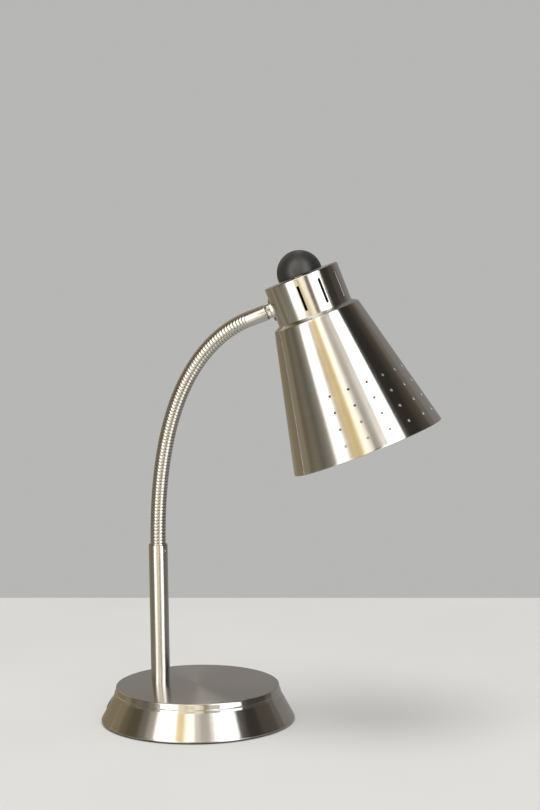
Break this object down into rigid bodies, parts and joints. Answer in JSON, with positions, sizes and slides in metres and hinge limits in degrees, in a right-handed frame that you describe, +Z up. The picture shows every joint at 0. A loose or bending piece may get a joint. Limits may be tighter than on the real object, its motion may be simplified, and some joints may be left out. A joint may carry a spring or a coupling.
{
  "type": "gooseneck desk lamp",
  "caption": "Desk lamp with a weighted round base, fixed pole, flexible ribbed neck, and a perforated cone shade under a vented cap with a turn knob.",
  "frame": {"origin": "centre of the base's underside, on the table", "axes": "+Z up, +X from the pole towards the shade, so the neck bends in the XZ plane"},
  "size_m": [0.2893, 0.162, 0.3977],
  "materials": {
    "brushed_nickel": "brushed nickel, satin, brushed round its axis",
    "shade_nickel": "brushed nickel outside, white enamel inside",
    "neck_nickel": "nickel plate, semi-bright, ribbed",
    "dark_steel": "darkened steel",
    "zinc_steel": "zinc plated",
    "brass": "machined brass",
    "cast_iron": "black painted casting",
    "black_pad": "moulded rubber",
    "black_plastic": "moulded phenolic",
    "knob_black": "satin black",
    "white_plastic": "moulded nylon",
    "wire_insulation": "one black, one white conductor",
    "bulb_glass": "inside-frosted glass",
    "bulb_aluminium": "pressed aluminium",
    "bulb_stem_glass": "clear glass and wire"
  },
  "bodies": {
    "stand": {"base_cover": "brushed_nickel", "base_weight": "cast_iron", "base_pad": "black_pad", "cord_grommet": "black_plastic", "pole_tube": "brushed_nickel", "pole_plug": "zinc_steel", "pole_pipe": "brass", "pole_washer": "zinc_steel", "pole_lock_washer": "zinc_steel", "pole_nut": "brass", "base_leads": "wire_insulation", "neck_sleeve": "zinc_steel", "neck_set_screw": "zinc_steel", "neck_root": "neck_nickel"},
    "neck_1": {"neck_link_1": "neck_nickel"},
    "neck_2": {"neck_link_2": "neck_nickel"},
    "neck_3": {"neck_link_3": "neck_nickel"},
    "neck_4": {"neck_link_4": "neck_nickel"},
    "neck_5": {"neck_link_5": "neck_nickel"},
    "neck_6": {"neck_link_6": "neck_nickel"},
    "neck_7": {"neck_link_7": "neck_nickel"},
    "neck_8": {"neck_link_8": "neck_nickel"},
    "neck_9": {"neck_link_9": "neck_nickel"},
    "neck_10": {"neck_link_10": "neck_nickel"},
    "neck_11": {"neck_link_11": "neck_nickel"},
    "neck_12": {"neck_link_12": "neck_nickel"},
    "neck_13": {"neck_link_13": "neck_nickel"},
    "neck_14": {"neck_link_14": "neck_nickel"},
    "neck_15": {"neck_link_15": "neck_nickel"},
    "head": {"neck_ferrule": "neck_nickel", "jam_nut": "neck_nickel", "saddle_washer": "dark_steel", "head_pipe": "brass", "head_lock_washer": "zinc_steel", "head_nut": "brass", "shade_cap": "brushed_nickel", "shade_cone": "shade_nickel", "socket_ring": "black_plastic", "socket_lid": "black_plastic", "socket_body": "black_plastic", "socket_shell": "brass", "socket_contact": "brass", "terminal_screws": "brass", "head_leads": "wire_insulation", "switch_bushing": "zinc_steel", "bushing_nut": "zinc_steel", "switch_contact": "brass", "bulb_glass": "bulb_glass", "bulb_cap": "bulb_aluminium", "bulb_insulator": "black_plastic", "bulb_tip": "bulb_aluminium", "bulb_stem": "bulb_stem_glass"},
    "knob": {"switch_cam": "white_plastic", "switch_shaft": "zinc_steel", "switch_knob": "knob_black", "knob_screw": "zinc_steel"}
  },
  "joints": [
    {"name": "neck_bend_lower", "type": "hinge", "parent": "stand", "child": "neck_1", "pos_m": [-0.03215, 0, 0.1541], "axis": [0, 1, 0], "range_deg": [-9, 9]},
    {"name": "neck_sway_lower", "type": "hinge", "parent": "neck_1", "child": "neck_2", "pos_m": [-0.03178, 0, 0.16798], "axis": [0.9992, 0, -0.0401], "range_deg": [-7.5, 7.5]},
    {"name": "neck_bend_2", "type": "hinge", "parent": "neck_2", "child": "neck_3", "pos_m": [-0.03104, 0, 0.18185], "axis": [0, 1, 0], "range_deg": [-9, 9]},
    {"name": "neck_sway_2", "type": "hinge", "parent": "neck_3", "child": "neck_4", "pos_m": [-0.02987, 0, 0.19569], "axis": [0.995, 0, -0.1001], "range_deg": [-7.5, 7.5]},
    {"name": "neck_bend_3", "type": "hinge", "parent": "neck_4", "child": "neck_5", "pos_m": [-0.02826, 0, 0.20948], "axis": [0, 1, 0], "range_deg": [-9, 9]},
    {"name": "neck_sway_3", "type": "hinge", "parent": "neck_5", "child": "neck_6", "pos_m": [-0.02612, 0, 0.2232], "axis": [0.9845, 0, -0.1755], "range_deg": [-7.5, 7.5]},
    {"name": "neck_bend_4", "type": "hinge", "parent": "neck_6", "child": "neck_7", "pos_m": [-0.02338, 0, 0.23681], "axis": [0, 1, 0], "range_deg": [-9, 9]},
    {"name": "neck_sway_4", "type": "hinge", "parent": "neck_7", "child": "neck_8", "pos_m": [-0.01997, 0, 0.25028], "axis": [0.9617, 0, -0.274], "range_deg": [-7.5, 7.5]},
    {"name": "neck_bend_upper", "type": "hinge", "parent": "neck_8", "child": "neck_9", "pos_m": [-0.01578, 0, 0.26351], "axis": [0, 1, 0], "range_deg": [-9, 7]},
    {"name": "neck_sway_upper", "type": "hinge", "parent": "neck_9", "child": "neck_10", "pos_m": [-0.0107, 0, 0.27644], "axis": [0.9159, 0, -0.4014], "range_deg": [-7.5, 7.5]},
    {"name": "neck_bend_6", "type": "hinge", "parent": "neck_10", "child": "neck_11", "pos_m": [-0.00464, 0, 0.28893], "axis": [0, 1, 0], "range_deg": [-9, 7]},
    {"name": "neck_sway_6", "type": "hinge", "parent": "neck_11", "child": "neck_12", "pos_m": [0.00251, 0, 0.30084], "axis": [0.83, 0, -0.5578], "range_deg": [-7.5, 7.5]},
    {"name": "neck_bend_7", "type": "hinge", "parent": "neck_12", "child": "neck_13", "pos_m": [0.01083, 0, 0.31195], "axis": [0, 1, 0], "range_deg": [-9, 7]},
    {"name": "neck_sway_7", "type": "hinge", "parent": "neck_13", "child": "neck_14", "pos_m": [0.02038, 0, 0.32204], "axis": [0.6801, 0, -0.7331], "range_deg": [-7.5, 7.5]},
    {"name": "neck_bend_8", "type": "hinge", "parent": "neck_14", "child": "neck_15", "pos_m": [0.03115, 0, 0.3308], "axis": [0, 1, 0], "range_deg": [-9, 7]},
    {"name": "neck_sway_8", "type": "hinge", "parent": "neck_15", "child": "head", "pos_m": [0.04309, 0, 0.3379], "axis": [0.4396, 0, -0.8982], "range_deg": [-7.5, 7.5]},
    {"name": "switch_turn", "type": "hinge", "parent": "head", "child": "knob", "pos_m": [0.09331, 0, 0.37692], "axis": [-0.3649, 0, 0.9311], "continuous": true}
  ],
  "couplings": [
    {"joint": "neck_bend_2", "follows": "neck_bend_lower", "ratio": 1},
    {"joint": "neck_sway_2", "follows": "neck_sway_lower", "ratio": 1},
    {"joint": "neck_bend_3", "follows": "neck_bend_lower", "ratio": 1},
    {"joint": "neck_sway_3", "follows": "neck_sway_lower", "ratio": 1},
    {"joint": "neck_bend_4", "follows": "neck_bend_lower", "ratio": 1},
    {"joint": "neck_sway_4", "follows": "neck_sway_lower", "ratio": 1},
    {"joint": "neck_bend_6", "follows": "neck_bend_upper", "ratio": 1},
    {"joint": "neck_sway_6", "follows": "neck_sway_upper", "ratio": 1},
    {"joint": "neck_bend_7", "follows": "neck_bend_upper", "ratio": 1},
    {"joint": "neck_sway_7", "follows": "neck_sway_upper", "ratio": 1},
    {"joint": "neck_bend_8", "follows": "neck_bend_upper", "ratio": 1},
    {"joint": "neck_sway_8", "follows": "neck_sway_upper", "ratio": 1}
  ]
}
